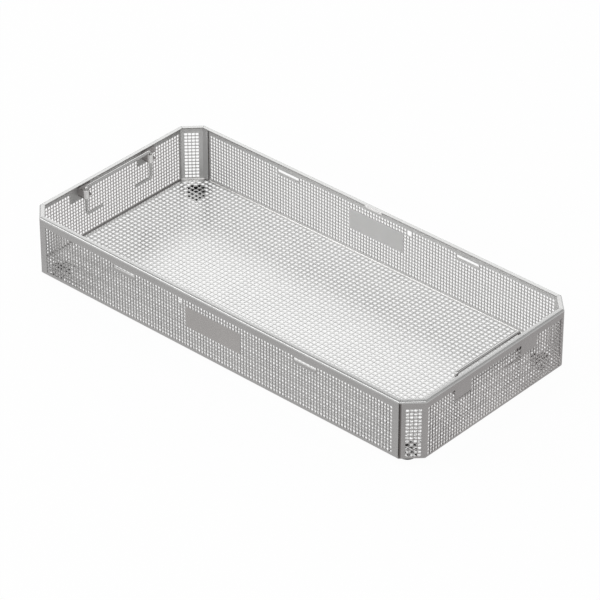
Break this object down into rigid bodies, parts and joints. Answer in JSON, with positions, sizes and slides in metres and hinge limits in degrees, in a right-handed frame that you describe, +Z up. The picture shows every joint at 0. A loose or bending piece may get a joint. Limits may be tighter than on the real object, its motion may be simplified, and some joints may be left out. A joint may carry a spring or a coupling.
{
  "type": "perforated steel basket",
  "caption": "Shallow rectangular basket folded from perforated steel sheet, with cut corners, an inward rim, lift-up wire handles at the short ends and rubber feet.",
  "frame": {"origin": "on the surface that the feet stand on, under the middle of the tray", "axes": "+Z up, X along the long side, Y across; the handles are at the -X and +X ends"},
  "size_m": [0.54, 0.255, 0.079],
  "materials": {
    "steel_sheet": "brushed perforated stainless sheet",
    "steel_wire": "bright drawn stainless wire",
    "black_rubber": "matt black rubber"
  },
  "bodies": {
    "tray": {"perforated_tray": "steel_sheet", "handle_bracket_left_front": "steel_sheet", "handle_bracket_left_back": "steel_sheet", "handle_bracket_right_front": "steel_sheet", "handle_bracket_right_back": "steel_sheet", "foot_front_left": "black_rubber", "foot_front_right": "black_rubber", "foot_back_left": "black_rubber", "foot_back_right": "black_rubber"},
    "handle_left": {"handle_left": "steel_wire"},
    "handle_right": {"handle_right": "steel_wire"}
  },
  "joints": [
    {"name": "handle_left_lift", "type": "slide", "parent": "tray", "child": "handle_left", "axis": [0, 0, 1], "range_m": [0, 0.0166]},
    {"name": "handle_right_lift", "type": "slide", "parent": "tray", "child": "handle_right", "axis": [0, 0, 1], "range_m": [0, 0.0166]}
  ]
}
